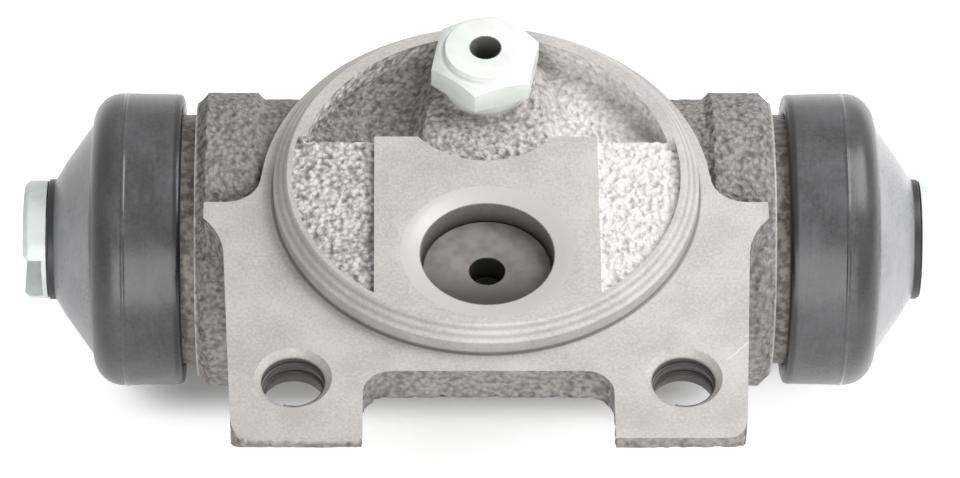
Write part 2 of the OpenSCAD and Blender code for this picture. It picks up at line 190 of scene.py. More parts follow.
# grey iron: pebbled as-cast skin, and machined faces with faint turning rings about the spigot; sizes in mm
ironLook = {
    # crests and pits of the skin: outside, inside the spigot, and on the right side there, painted lighter
    # as light
    "crest": lit(156, 152, 148), "pit": lit(108, 105, 102),
    "panelCrest": lit(222, 219, 216), "panelPit": lit(134, 130, 127),
    "litCrestAndScratch": lit(240, 238, 236), "litPit": lit(204, 201, 198), "litX": (-1, 8),
    "bossReach": (4, 8), "bossShare": 0.6,
    "pebble": 0.6, "bead": 0.5, "fine": 0.2, "mottle": 2.4,
    "pebbleShare": 0.45, "beadShare": 0.32, "fineShare": 0.2, "mottleShare": 0.2,
    "reliefShare": 0.12, "reliefMiddle": 0.6, "pitTo": 0.3, "crestFrom": 0.66,
    "toeY": (0.4, 1.8), "toeZ": (-1.1, -0.3), "toeX": (0, 10), "toeLeft": 0.75, "toeRight": 0.15,
    "skinDepth": 0.55, "skinRough": 0.6, "skinRoughFine": 0.2, "skinMetal": 0.02,
    # machined faces, and what lies on them
    "machined": lit(198, 194, 190), "machinedDark": lit(174, 170, 166), "sunkLitAndGlossy": lit(194, 191, 188),
    "blotch": 5.0, "speck": 0.26, "turningPitch": 0.32,
    "blotchShare": 0.7, "speckShare": 0.6, "ringShare": 0.012, "wornLess": 0.15, "wornRange": (0.3, 0.7),
    "groove": lit(112, 108, 105), "chamferPitch": 0.46, "lineShade": 0.4, "cornerShade": 0.8,
    "neck": lit(136, 129, 122), "neckDark": lit(80, 75, 71), "neckRange": (0.35, 0.65),
    "scratchFrom": (18.6, -17.8), "scratchTo": (21.2, -15.1), "scratchW": 0.07, "scratchShade": 0.5,
    "oiledAndShaded": lit(70, 66, 63), "oilAndShadeAtMouth": 0.7,
    "cutDepth": 0.012, "cutStrength": 0.6, "cutRings": 0.1, "cutMetal": 0.12,
    "cutRough": 0.4, "cutRoughSpeck": 0.14, "cutRoughRings": 0.01, "sunkGloss": 0.16,
}


def castPebble(g, place):
    return g.grain(place, ironLook["pebble"], 2.0, 0.5)


def castSkin(g, place, spot):  # colour, roughness and height of the as-cast skin
    look = ironLook
    p = plan
    x, y, z = spot
    # inside the spigot the skin is painted lighter the higher it lies, which leaves painted shade in the
    # deep pockets, darker round the bleeder boss, and painted lighter towards the right as light
    inside = g.before(reach(x, y), p["panelR"], soft=0.2) * g.past(z, p["pocketZ"] - 2, soft=1)
    boss = g.within(reach(x, y - p["bleedY"]), *look["bossReach"], look["bossShare"], 1.0)
    litRight = g.within(x, *look["litX"])
    high = g.within(z, p["pocketZ"] - 0.6, p["panelZ"] + 0.3)
    lift = high.sum("MAXIMUM", litRight) * boss * inside
    crest = g.mix(lift, look["crest"], g.mix(litRight, look["panelCrest"], look["litCrestAndScratch"]))
    pit = g.mix(lift, look["pit"], g.mix(litRight, look["panelPit"], look["litPit"]))
    fine = g.grain(place, look["fine"], 3.0, 0.6)
    mottle = (g.grain(place, look["mottle"]) - 0.5) * look["mottleShare"]
    bead = 1 - g.add("ShaderNodeTexVoronoi", None, {"Vector": place, "Scale": 1 / (look["bead"] * mm)})
    relief = (g.painted("relief") - look["reliefMiddle"]) * look["reliefShare"]
    height = castPebble(g, place) * look["pebbleShare"] + bead * look["beadShare"]
    height = height + fine * look["fineShare"] + relief
    colour = g.mix(g.within(height + mottle, look["pitTo"], look["crestFrom"]), pit, crest)
    # the upper edge on the front of the feet is lighter, partly rubbed and partly a painted highlight, most
    # so on the left, which leaves the right foot's front in painted shade
    low, high = look["toeY"]
    toe = g.within(y, p["footY"] + low, p["footY"] + high, 1.0, 0.0) * g.within(z, *look["toeZ"])
    rubbedAndLit = g.within(x, *look["toeX"], look["toeLeft"], look["toeRight"])
    colour = g.mix(toe * rubbedAndLit, colour, look["machined"])
    return colour, look["skinRough"] + fine * look["skinRoughFine"], height


def machinedFace(g, place, spot):  # colour, roughness and height of the machined faces
    look = ironLook
    p = plan
    x, y, z = spot
    ring = reach(x, y)
    rings = (ring * (2 * math.pi / look["turningPitch"])).sum("SINE")
    blotch = g.grain(place, look["blotch"], 5.0, 0.62)
    speck = g.grain(place, look["speck"])
    worn = blotch * look["blotchShare"] + speck * look["speckShare"] + rings * look["ringShare"]
    worn = g.within(worn - look["wornLess"], *look["wornRange"])
    colour = g.mix(worn, look["machinedDark"], look["machined"])
    # the countersink round the port is smoother, and painted evenly lighter as a highlight
    port = reach(x, y - p["portY"])
    sunkLitAndGlossy = g.past(port, p["portMouthR"] + 0.05, soft=0.1) * g.before(port, p["portSinkR"] - 0.15, soft=0.15)
    colour = g.mix(sunkLitAndGlossy, colour, look["sunkLitAndGlossy"])
    # tool lines on the spigot's chamfer, which also paint it darker as shade, and painted shade in the
    # corner at its foot
    edge = p["spigotR"] - p["spigotChamfer"]
    lines = 0.5 + 0.5 * (ring * (2 * math.pi / look["chamferPitch"])).sum("SINE")
    lines = lines * g.past(ring, edge - 0.02, soft=0.12) * g.past(z, 0.1, soft=0.1)
    corner = g.past(ring, p["spigotR"] - 0.03, soft=0.02) * g.before(ring, p["spigotR"] + 0.12, soft=0.18)
    corner = corner * g.past(z, -0.1, soft=0.05) * g.before(z, 0.1, soft=0.25)
    linesAndShade = (lines * look["lineShade"]).sum("MAXIMUM", corner * look["cornerShade"])
    colour = g.mix(linesAndShade, colour, look["groove"])
    # painted shade in patches on the necks, in the gap under the boots
    bore = reach(y - p["boreY"], z - p["boreZ"])
    neck = g.past(x.sum("ABSOLUTE"), p["endX"], soft=0.05) * g.past(bore, p["boreR"] + 0.3, soft=0.2)
    patches = g.within(castPebble(g, place), *look["neckRange"])
    colour = g.mix(neck, colour, g.mix(patches, look["neckDark"], look["neck"]))
    # one light scratch across a foot
    start = Vector(look["scratchFrom"])
    run = (Vector(look["scratchTo"]) - start).normalized()
    off = (x - start.x) * run.y - (y - start.y) * run.x
    scratch = g.within(off.sum("ABSOLUTE"), look["scratchW"] * 0.4, look["scratchW"], 1.0, 0.0)
    scratch = scratch * g.past(x, start.x, soft=0.3) * g.past(z, -0.1, soft=0.05)
    colour = g.mix(scratch * look["scratchShade"], colour, look["litCrestAndScratch"])
    # thread oil and painted shade darken the walls of the bolt holes and the port, less towards the port's
    # mouth
    bolt = reach(x.sum("ABSOLUTE") - p["boltX"], y - p["boltY"])
    inBolt = g.before(bolt, p["boltR"] + 0.06, soft=0.14) * g.before(z, -0.7, soft=0.3)
    inPort = g.before(port, p["portMouthR"] + 0.04, soft=0.06)
    inPort = inPort * g.within(z, -0.5, p["spigotH"] - 0.3, 1.0, look["oilAndShadeAtMouth"])
    colour = g.mix(inBolt.sum("MAXIMUM", inPort), colour, look["oiledAndShaded"])
    roughness = look["cutRough"] + speck * look["cutRoughSpeck"] + rings * look["cutRoughRings"]
    return colour, roughness - sunkLitAndGlossy * look["sunkGloss"], rings * look["cutRings"] + speck


def makeIron():
    look = ironLook
    finish, g = newFinish("grey_iron")
    place = g.place()
    spot = g.spot(place)
    cast = g.painted("asCast")
    skinColour, skinRoughness, skinHeight = castSkin(g, place, spot)
    cutColour, cutRoughness, cutHeight = machinedFace(g, place, spot)
    skin = g.bump(skinHeight, look["skinDepth"])
    cut = g.bump(cutHeight, look["cutDepth"], look["cutStrength"])
    both = g.add("ShaderNodeMix", {"data_type": "VECTOR"}, {0: cast, 4: cut, 5: skin}, out=1)
    closeFinish(g, {
        "Base Color": g.mix(cast, cutColour, skinColour),
        "Metallic": look["cutMetal"] - cast * (look["cutMetal"] - look["skinMetal"]),
        "Roughness": cast * skinRoughness + (1 - cast) * cutRoughness,
        "Normal": g.add("ShaderNodeVectorMath", {"operation": "NORMALIZE"}, {0: both}),
    })
    return finish


# white zinc over steel, with a faint green cast and soft clouds; the screw's drilling painted dark as shade
zincLook = {
    "bright": lit(234, 236, 233), "cloud": lit(224, 229, 224), "dark": lit(112, 112, 110),
    "cloudSize": 2.6, "cloudRange": (0.35, 0.65), "fine": 0.12, "holeRim": 0.03,
    "metal": 0.05, "roughness": 0.28, "cloudRough": 0.08, "fineRough": 0.06,
    "depth": 0.008, "strength": 0.4,
}
pistonLook = {**zincLook, "bright": lit(234, 240, 238), "cloud": lit(214, 224, 220)}


def makeZinc(name, look, hole=False):
    finish, g = newFinish(name)
    place = g.place()
    cloud = g.grain(place, look["cloudSize"])
    fine = g.grain(place, look["fine"])
    share = g.within(cloud, *look["cloudRange"])
    colour = g.mix(share, look["cloud"], look["bright"])
    # the screw's drilling is painted dark as shade
    if hole:
        x, y = g.spot(place, "XY")
        rim = plan["bleedHoleR"] + look["holeRim"]
        colour = g.mix(g.before(reach(x, y - plan["bleedY"]), rim, soft=0.06), colour, look["dark"])
    closeFinish(g, {
        "Base Color": colour, "Metallic": look["metal"],
        "Roughness": look["roughness"] + share * look["cloudRough"] + fine * look["fineRough"],
        "Normal": g.bump(fine + cloud, look["depth"], look["strength"]),
    })
    return finish


# moulded rubber: dark skirt whose inner edge is painted black as shade, a cone painted lighter as sheen
# with bloom in patches, black lip; x along the bore in mm
bootLook = {
    "dark": lit(60, 59, 60), "bloom": lit(98, 96, 99), "shoulder": lit(48, 48, 49),
    "cone": lit(158, 158, 161), "black": lit(26, 26, 27),
    "hemX": 25.05, "shoulderX": 29.4, "coneX": 31.8, "lipX": 35.02,
    "flashX": 29.25, "flashW": (0.1, 0.25), "flashGloss": 0.12,
    "cloudSize": 4.0, "dust": 0.35, "mould": 0.7, "mouldStretch": (3.0, 0.25, 0.25),
    "dustShare": 0.4, "mouldShare": 0.3, "bloomRange": (0.3, 0.75),
    "bloomShare": 0.6, "shoulderBloom": 0.4, "coneBloom": 0.3,
    "roughness": 0.3, "dustRough": 0.14, "cloudRough": 0.16, "lipRough": 0.15,
    "specular": 0.5, "depth": 0.03, "strength": 0.4,
}


def makeBootRubber():
    look = bootLook
    finish, g = newFinish("boot_rubber")
    place = g.painted("unstretched", "Vector")
    along = g.spot(place, "X")[0].sum("ABSOLUTE")
    hemShade = g.before(along, look["hemX"], soft=0.3)
    shoulder = g.past(along, look["shoulderX"], soft=1.5)
    cone = g.past(along, look["coneX"], soft=0.4)
    lip = g.past(along, look["lipX"], soft=0.2)
    cloud = g.grain(place, look["cloudSize"], 4.0, 0.6)
    dust = g.grain(place, look["dust"])
    stretched = g.add("ShaderNodeMapping", None, {"Vector": place, "Scale": look["mouldStretch"]})
    mould = g.grain(stretched, look["mould"], 2.0)
    bloom = cloud + (dust - 0.5) * look["dustShare"] + (mould - 0.5) * look["mouldShare"]
    bloom = g.within(bloom, *look["bloomRange"])
    colour = g.mix(bloom * look["bloomShare"], look["dark"], look["bloom"])
    colour = g.mix(shoulder * (1 - bloom * look["shoulderBloom"]), colour, look["shoulder"])
    # the cone is painted lighter as sheen, with bloom in patches
    colour = g.mix(cone * (1 - look["coneBloom"] + bloom * look["coneBloom"]), colour, look["cone"])
    # the lip is black, and the hem at the skirt's inner edge is painted black as shade
    colour = g.mix(lip.sum("MAXIMUM", hemShade), colour, look["black"])
    # the moulding line is glossier
    flash = g.within((along - look["flashX"]).sum("ABSOLUTE"), *look["flashW"], look["flashGloss"], 0.0)
    roughness = look["roughness"] - flash + (dust - 0.5) * look["dustRough"]
    roughness = roughness + (cloud - 0.5) * look["cloudRough"] + lip * look["lipRough"]
    closeFinish(g, {
        "Base Color": colour, "Roughness": roughness, "Specular IOR Level": look["specular"],
        "Normal": g.bump(mould * 0.6 + dust, look["depth"], look["strength"]),
    })
    return finish


# smooth black cup rubber, wet with fluid
cupLook = {
    "black": lit(24, 24, 25), "worn": lit(44, 43, 43), "cloudSize": 1.5, "wornRange": (0.35, 0.7),
    "fine": 0.15, "roughness": 0.3, "cloudRough": 0.15, "depth": 0.02, "strength": 0.4,
}


def makeCupRubber():
    look = cupLook
    finish, g = newFinish("cup_rubber")
    place = g.place()
    cloud = g.grain(place, look["cloudSize"])
    fine = g.grain(place, look["fine"], 2.0)
    closeFinish(g, {
        "Base Color": g.mix(g.within(cloud, *look["wornRange"]), look["black"], look["worn"]),
        "Roughness": look["roughness"] + cloud * look["cloudRough"],
        "Normal": g.bump(fine + cloud, look["depth"], look["strength"]),
    })
    return finish


# bright drawn wire and pressed sheet
wireLook = {
    "bright": lit(196, 198, 202), "drawn": lit(150, 152, 157), "stretch": (4.0, 1.0, 1.0), "streak": 0.5,
    "streakRange": (0.3, 0.7), "fine": 0.1, "metal": 0.9, "roughness": 0.26, "streakRough": 0.14,
    "depth": 0.012, "strength": 0.5,
}


def makeSpringSteel():
    look = wireLook
    finish, g = newFinish("spring_steel")
    place = g.place()
    stretched = g.add("ShaderNodeMapping", None, {"Vector": place, "Scale": look["stretch"]})
    drawn = g.grain(stretched, look["streak"], 4.0)
    fine = g.grain(place, look["fine"], 2.0)
    share = g.within(drawn, *look["streakRange"])
    closeFinish(g, {
        "Base Color": g.mix(share, look["drawn"], look["bright"]), "Metallic": look["metal"],
        "Roughness": look["roughness"] + share * look["streakRough"],
        "Normal": g.bump(fine + drawn, look["depth"], look["strength"]),
    })
    return finish


# rubber transport plug on the step of the port: a dished face with a blind middle hole, and a short stem
plug = {
    "segments": 96, "faceR": 5.12, "rise": 0.3, "dish": 0.2, "holeR": 1.4, "holeDepth": 2.4,
    "stemR": 4.05, "stemLen": 3.0, "rest": 0.02, "cornerSteps": 4,
}
plugLook = {
    "grey": lit(133, 129, 126), "worn": lit(110, 106, 103),
    "nearShadeGrey": lit(40, 38, 37), "hole": lit(34, 33, 32),
    "cloudSize": 1.8, "wornRange": (0.35, 0.7), "fine": 0.2, "nearShadeY": (-4.2, 0.8), "nearShadeWander": 2,
    "roughness": 0.5, "cloudRough": 0.15, "depth": 0.02, "strength": 0.4,
}


def makePlugRubber():
    look = plugLook
    finish, g = newFinish("plug_rubber")
    place = g.place()
    cloud = g.grain(place, look["cloudSize"])
    fine = g.grain(place, look["fine"], 2.0)
    x, y = g.spot(place, "XY")
    y = y - plan["portY"]
    # the near side of the face is painted darker as shade, and the middle hole painted dark as shade
    nearShade = g.within(y + (cloud - 0.5) * look["nearShadeWander"], *look["nearShadeY"], 1.0, 0.0)
    inside = g.before(reach(x, y), plug["holeR"] + 0.02, soft=0.08)
    colour = g.mix(g.within(cloud, *look["wornRange"]), look["grey"], look["worn"])
    colour = g.mix(inside, g.mix(nearShade, colour, look["nearShadeGrey"]), look["hole"])
    closeFinish(g, {
        "Base Color": colour, "Roughness": look["roughness"] + cloud * look["cloudRough"],
        "Normal": g.bump(fine + cloud, look["depth"], look["strength"]),
    })
    return finish


iron = makeIron()
zinc = makeZinc("zinc_plate_piston", pistonLook)
drilledZinc = makeZinc("zinc_plate_screw", zincLook, hole=True)
plugRubber = makePlugRubber()
bootRubber = makeBootRubber()
cupRubber = makeCupRubber()
springSteel = makeSpringSteel()
print("finishes made")


def addPiece(name, mesh, finish):
    piece = bpy.data.objects.new(name, mesh)
    scene.collection.objects.link(piece)
    mesh.materials.clear()
    mesh.materials.append(finish)
    return piece


def mergedTriangles(node):  # a node's mesh as welded points in mm and triangles
    weldSteps = 5000  # points this many to a mm are one
    mesh = nodes[node].data
    points = np.zeros(len(mesh.vertices) * 3, np.float32)
    mesh.vertices.foreach_get("co", points)
    points = points.reshape(-1, 3).astype(float) / mm
    mesh.calc_loop_triangles()
    tris = np.zeros(len(mesh.loop_triangles) * 3, np.int32)
    mesh.loop_triangles.foreach_get("vertices", tris)
    _, first, back = np.unique(np.round(points * weldSteps).astype(np.int64), axis=0,
                               return_index=True, return_inverse=True)
    tris = back.reshape(-1)[tris].reshape(-1, 3)
    whole = (tris[:, 0] != tris[:, 1]) & (tris[:, 1] != tris[:, 2]) & (tris[:, 2] != tris[:, 0])
    return points[first], tris[whole]


def faceNormals(points, tris):
    a, b, c = (points[tris[:, i]] for i in range(3))
    n = np.cross(b - a, c - a)
    return n / np.maximum(np.linalg.norm(n, axis=1), 1e-12)[:, None]


# the casting: its as-cast skin is cut fine enough to carry real pits, the machined faces stay plain
casting = {
    "recessEdge": 0.21, "upperEdge": 0.3, "lowerEdge": 0.46, "lowerBelow": -0.25,
    "pitSpacing": 0.7, "pitReach": 0.62, "pitDepth": 0.19, "wanderSize": 1.3, "wander": 0.35,
    "lumpSize": 1.1, "lumpDepth": 0.07, "swellSize": 4.5, "swellDepth": 0.1,
    "sharpAngle": 32, "mostTriangles": 190000, "seed": 5,
}


def machinedFaces(points, tris):
    p = plan
    flat, slack = 0.01, 0.02
    n = faceNormals(points, tris)
    x, y, z = points[tris].mean(1).T
    ring = np.hypot(x, y)
    bore = np.hypot(y - p["boreY"], z - p["boreZ"])
    port = np.hypot(x, y - p["portY"])
    level = n[:, 2] > 0.99
    machined = (np.abs(z) < flat) & level & (ring > p["rimR"])  # flange
    machined |= (np.abs(z - p["spigotH"]) < flat) & level  # rim and strip
    machined |= (z > slack) & (ring > p["panelR"] + 0.03)  # spigot's wall and chamfer
    machined |= (port < p["portSinkR"] + slack) & (z > -0.5)  # port's countersink and step
    drillZ = p["portFloorZ"] - (p["portR"] - port) * p["portDrillSlope"]
    machined |= (port < p["portR"] + slack) & (z > drillZ - 0.2)
    machined |= bore < p["boreR"] + 0.6
    machined |= np.abs(x) > p["endX"] - flat
    machined |= np.hypot(np.abs(x) - p["boltX"], y - p["boltY"]) < p["boltTopR"] + slack
    machined |= (np.hypot(x, y - p["bleedY"]) < p["bleedR"] + slack) & (z > p["bleedFloorZ"])
    along = np.array([p["boreY"] - p["feedY"], p["boreZ"] - p["feedZ"]])
    along /= np.linalg.norm(along)
    off = (y - p["feedY"]) * along[1] - (z - p["feedZ"]) * along[0]
    machined |= (np.hypot(x, off) < p["feedR"] + slack) & (bore < 18) & (z < -3)  # feed drilling
    return machined, n, ring, z


def cutFine(points, tris, wanted):
    # halves the longest edge of each triangle until none is longer than wanted there
    while True:
        pairs = np.sort(tris[:, [0, 1, 1, 2, 2, 0]].reshape(-1, 2), axis=1)
        keys, inverse = np.unique(pairs[:, 0] * np.int64(len(points)) + pairs[:, 1], return_inverse=True)
        inverse = inverse.reshape(-1, 3)
        ends = np.stack([keys // len(points), keys % len(points)], 1)
        lengths = np.linalg.norm(points[ends[:, 0]] - points[ends[:, 1]], axis=1)
        own = lengths[inverse]
        longest = own.argmax(1)
        row = np.arange(len(tris))
        split = own[row, longest] > wanted
        if not split.any():
            return points, tris, wanted
        flagged = np.zeros(len(keys), bool)
        flagged[inverse[split, longest[split]]] = True
        while True:
            need = inverse[row, longest][flagged[inverse].any(1)]
            if flagged[need].all():
                break
            flagged[need] = True
        middle = np.full(len(keys), -1, np.int64)
        middle[flagged] = len(points) + np.arange(flagged.sum())
        points = np.vstack([points, points[ends[flagged]].mean(1)])
        turn = (longest[:, None] + np.arange(3)) % 3
        a, b, c = np.take_along_axis(tris, turn, 1).T
        ab, bc, ca = middle[np.take_along_axis(inverse, turn, 1)].T
        made, wants = [], []

        def keep(mask, *corners):
            made.append(np.stack([k[mask] for k in corners], 1))
            wants.append(wanted[mask])

        keep(ab < 0, a, b, c)
        keep((ab >= 0) & (ca < 0), a, ab, c)
        keep((ab >= 0) & (ca >= 0), a, ab, ca)
        keep((ab >= 0) & (ca >= 0), ca, ab, c)
        keep((ab >= 0) & (bc < 0), ab, b, c)
        keep((ab >= 0) & (bc >= 0), ab, b, bc)
        keep((ab >= 0) & (bc >= 0), ab, bc, c)
        tris = np.vstack(made)
        wanted = np.concatenate(wants)


def castRelief(point):  # depth below the solid in mm, and 0 in a pit to 1 on a crest
    c = casting
    at = Vector(point)
    wander = noise.noise_vector(at / c["wanderSize"]) * c["wander"]
    near = noise.voronoi(at / c["pitSpacing"] + wander)[0][0]
    pit = max(0.0, 1 - near / c["pitReach"])
    pit = pit * pit * (3 - 2 * pit)
    lump = 0.5 + 0.5 * noise.noise(at / c["lumpSize"])
    swell = 0.5 + 0.5 * noise.noise(at / c["swellSize"])
    depth = c["pitDepth"] * pit + c["lumpDepth"] * (1 - lump) + c["swellDepth"] * (1 - swell)
    return depth, min(1.0, max(0.0, (1 - pit) * 0.75 + lump * 0.4 - 0.1))


def thinSkin(piece, skinPoints, most):
    # merges the flattest of the cast skin and leaves the machined faces alone
    skin = piece.vertex_groups.new(name="skin")
    skin.add(skinPoints.tolist(), 1.0, "REPLACE")
    thinner = piece.modifiers.new("thin", "DECIMATE")
    thinner.ratio = most / len(piece.data.polygons)
    thinner.vertex_group = skin.name
    depsgraph = bpy.context.evaluated_depsgraph_get()
    mesh = bpy.data.meshes.new_from_object(
        piece.evaluated_get(depsgraph), preserve_all_data_layers=True, depsgraph=depsgraph)
    piece.modifiers.remove(thinner)
    piece.data = mesh
    piece.vertex_groups.clear()
    mesh.name = piece.name


def buildCasting():
    c = casting
    never = 1e9  # machined faces aren't cut
    points, tris = mergedTriangles("body_casting")
    machined, n, ring, z = machinedFaces(points, tris)
    recess = (ring < plan["panelR"] + 0.1) & (z > plan["pocketZ"] - 0.3)
    outside = np.where(n[:, 2] > c["lowerBelow"], c["upperEdge"], c["lowerEdge"])
    wanted = np.where(machined, never, np.where(recess, c["recessEdge"], outside))
    points, tris, wanted = cutFine(points, tris, wanted)
    rough = wanted < never
    n = faceNormals(points, tris)
    pull = np.zeros_like(points)
    isCast = np.ones(len(points))
    for k in range(3):
        np.add.at(pull, tris[rough, k], n[rough])
    isCast[tris[~rough].ravel()] = 0
    length = np.linalg.norm(pull, axis=1)
    isCast[length < 1e-9] = 0
    pull /= np.maximum(length, 1e-9)[:, None]
    relief = np.ones(len(points))
    moved = points.copy()
    noise.seed_set(c["seed"])  # left alone, noise_vector starts from the clock
    for i in np.nonzero(isCast)[0]:
        depth, relief[i] = castRelief(points[i])
        moved[i] -= pull[i] * depth
    mesh = bpy.data.meshes.new("iron_casting")
    mesh.from_pydata((points * mm).tolist(), [], tris.tolist())
    mesh.polygons.foreach_set("use_smooth", np.ones(len(tris), bool))
    mesh.set_sharp_from_angle(angle=math.radians(c["sharpAngle"]))
    mesh.vertices.foreach_set("co", (moved * mm).astype(np.float32).ravel())
    for name, values in (("asCast", isCast), ("relief", relief)):
        mesh.attributes.new(name, "FLOAT", "POINT").data.foreach_set("value", values.astype(np.float32))
    mesh.update()
    piece = addPiece("iron_casting", mesh, iron)
    thinSkin(piece, np.nonzero(isCast)[0], c["mostTriangles"])
    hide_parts("body_casting")
    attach(piece, "housing")
    print("casting:", len(tris), "triangles cut,", len(piece.data.polygons), "kept")


buildCasting()


# turned and hexagonal metal pieces with their edges broken
edgeBreak = {
    "bleeder_screw": 0.14, "left_piston": 0.12, "right_piston": 0.12,
    "flatAngle": 0.4, "breakAngle": 22, "steps": 2, "profile": 0.6, "sharpAngle": 38,
}
# the raised round face that the turning leaves on the hexagon, which is lowered by its rise
screwFace = {
    "above": 4.0, "rise": 0.55, "seat": 0.15, "radius": 3.3, "round": 0.12, "holeRound": 0.05,
    "gap": 0.02, "segments": 96, "cornerSteps": 4,
}


def buildSoftened(node, name, body, finish, lowered=0.0):
    c = edgeBreak
    points, tris = mergedTriangles(node)
    points[points[:, 2] > screwFace["above"], 2] -= lowered
    mesh = bpy.data.meshes.new(name)
    mesh.from_pydata((points * mm).tolist(), [], tris.tolist())
    work = bmesh.new()
    work.from_mesh(mesh)
    flat = math.radians(c["flatAngle"])
    bmesh.ops.dissolve_limit(work, angle_limit=flat, verts=work.verts, edges=work.edges)
    least = math.radians(c["breakAngle"])
    sharp = [e for e in work.edges if e.is_manifold and e.calc_face_angle(0) > least]
    bmesh.ops.bevel(work, geom=sharp, offset=c[node] * mm, segments=c["steps"], profile=c["profile"],
                    affect="EDGES", clamp_overlap=True)
    bmesh.ops.triangulate(work, faces=[f for f in work.faces if len(f.verts) > 4])
    for f in work.faces:
        f.smooth = True
    work.to_mesh(mesh)
    work.free()
    mesh.set_sharp_from_angle(angle=math.radians(c["sharpAngle"]))
    piece = addPiece(name, mesh, finish)
    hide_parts(node)
    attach(piece, body)


buildSoftened("bleeder_screw", "bleed_screw", "bleeder", drilledZinc, screwFace["rise"])
buildSoftened("left_piston", "left_plunger", "left_piston_group", zinc)
buildSoftened("right_piston", "right_plunger", "right_piston_group", zinc)
print("screw and plungers made")


# dust boots: a turned section with a flash line, rounded shoulder, cone and lip; (along, radius) in mm
boot = {
    "segments": 168, "cornerSteps": 5, "wall": 1.3,
    "skirtX": 24.6, "skirtR": 11.92, "flash": 0.07, "flashW": 0.22, "flashBack": 0.3,
    "shoulderX": 29.6, "shoulderR": 12.03, "shoulderLen": 2.4, "shoulderDrop": 2.4,
    "coneFrom": (32.02, 9.52), "coneTo": (34.35, 6.28), "collar": (34.98, 5.2),
    "lipX": 35.15, "lipEndX": 35.7, "lipR": 4.95, "mouthX": 35.0, "mouthR": 4.15,
    "grooveX": (34.9, 34.7), "grooveR": 4.8, "insideTip": (33.75, 5.6), "insideCone": (31.35, 8.85),
    "insideX": 28.3, "insideR": 10.4, "beadX": (27.2, 25.6), "beadR": 9.6,
    "holdX": 28.8, "moveX": 34.6,
}


def roundedLoop(corners, steps):
    # closed loop of (along, radius, rounding) corners with each corner turned round
    loop = []
    for i, (x, r, rounding) in enumerate(corners):
        here = Vector((x, r))
        before = Vector(corners[i - 1][:2]) - here
        after = Vector(corners[(i + 1) % len(corners)][:2]) - here
        length = min(rounding, before.length * 0.48, after.length * 0.48)
        if length < 1e-4:
            loop.append(here)
            continue
        start = here + before.normalized() * length
        end = here + after.normalized() * length
        for k in range(steps + 1):
            t = k / steps
            loop.append(start * (1 - t) ** 2 + here * 2 * t * (1 - t) + end * t * t)
    return loop


def shoulderArc(degrees, length, top, drop):  # points round the shoulder, outside or inside
    turns = [math.radians(d) for d in degrees]
    return [(boot["shoulderX"] + length * math.sin(a), top - drop * (1 - math.cos(a)), 0.0) for a in turns]


def bootSection():
    b = boot
    wall = b["wall"]
    outer = shoulderArc(range(8, 81, 8), b["shoulderLen"], b["shoulderR"], b["shoulderDrop"])
    inner = shoulderArc(range(80, -1, -16), b["shoulderLen"] - wall, b["shoulderR"] - wall,
                        b["shoulderDrop"] - wall / 2)
    line = b["shoulderX"] - b["flashBack"]
    top = b["shoulderR"] + b["flash"]
    grooveEnd, grooveStart = b["grooveX"]
    beadEnd, beadStart = b["beadX"]
    return roundedLoop([
        (b["skirtX"], b["skirtR"], 0.45),
        (line - b["flashW"], b["shoulderR"] - 0.01, 0.08),
        (line - b["flashW"] / 2, top, 0.05),
        (line, top, 0.05),
        (line + b["flashW"] / 2, b["shoulderR"], 0.08),
        *outer,
        (*b["coneFrom"], 0.12), (*b["coneTo"], 0.5), (*b["collar"], 0.15),
        (b["lipX"], b["lipR"], 0.08), (b["lipEndX"], b["lipR"], 0.12),
        (b["lipEndX"], b["mouthR"], 0.1), (b["mouthX"], b["mouthR"], 0.08),
        (grooveEnd, b["grooveR"], 0.08), (grooveStart, b["grooveR"], 0.1),
        (*b["insideTip"], 0.3), (*b["insideCone"], 0.3),
        *inner,
        (b["insideX"], b["insideR"], 0.1),
        (beadEnd, b["insideR"], 0.05), (beadEnd, b["beadR"], 0.15),
        (beadStart, b["beadR"], 0.15), (beadStart, b["insideR"], 0.05),
        (b["skirtX"], b["insideR"], 0.3),
    ], b["cornerSteps"])


def turnedMesh(name, loop, spot, segments):
    # turns a closed section; spot gives the place of a section point at an angle, in mm
    sharpAngle = 50
    count = len(loop)
    points = []
    for s in range(segments):
        a = 2 * math.pi * s / segments
        points += [tuple(v * mm for v in spot(along, r, a)) for along, r in loop]
    faces = []
    for s in range(segments):
        t = (s + 1) % segments
        for i in range(count):
            j = (i + 1) % count
            faces.append((s * count + i, s * count + j, t * count + j, t * count + i))
    mesh = bpy.data.meshes.new(name)
    mesh.from_pydata(points, [], faces)
    work = bmesh.new()
    work.from_mesh(mesh)
    # closes the poles of a section that meets its axis
    bmesh.ops.remove_doubles(work, verts=work.verts, dist=1e-9)
    bmesh.ops.delete(work, geom=[e for e in work.edges if e.is_wire], context="EDGES")
    bmesh.ops.recalc_face_normals(work, faces=work.faces)
    for f in work.faces:
        f.smooth = True
    work.to_mesh(mesh)
    work.free()
    mesh.set_sharp_from_angle(angle=math.radians(sharpAngle))
    return mesh


def buildBoots():
    section = bootSection()
    y, z = plan["boreY"], plan["boreZ"]
    for side, end in ((-1, "left"), (1, "right")):
        def spot(x, r, a):
            return side * x, y + r * math.cos(a), z + r * math.sin(a)
        mesh = turnedMesh(end + "_boot", section, spot, boot["segments"])
        still = np.zeros(len(mesh.vertices) * 3, np.float32)
        mesh.vertices.foreach_get("co", still)
        mesh.attributes.new("unstretched", "FLOAT_VECTOR", "POINT").data.foreach_set("vector", still)
        piece = addPiece(end + "_boot", mesh, bootRubber)
        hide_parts(end + "_dust_boot")
        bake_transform(piece)
    print("boots made,", len(section), "points in the section")


buildBoots()


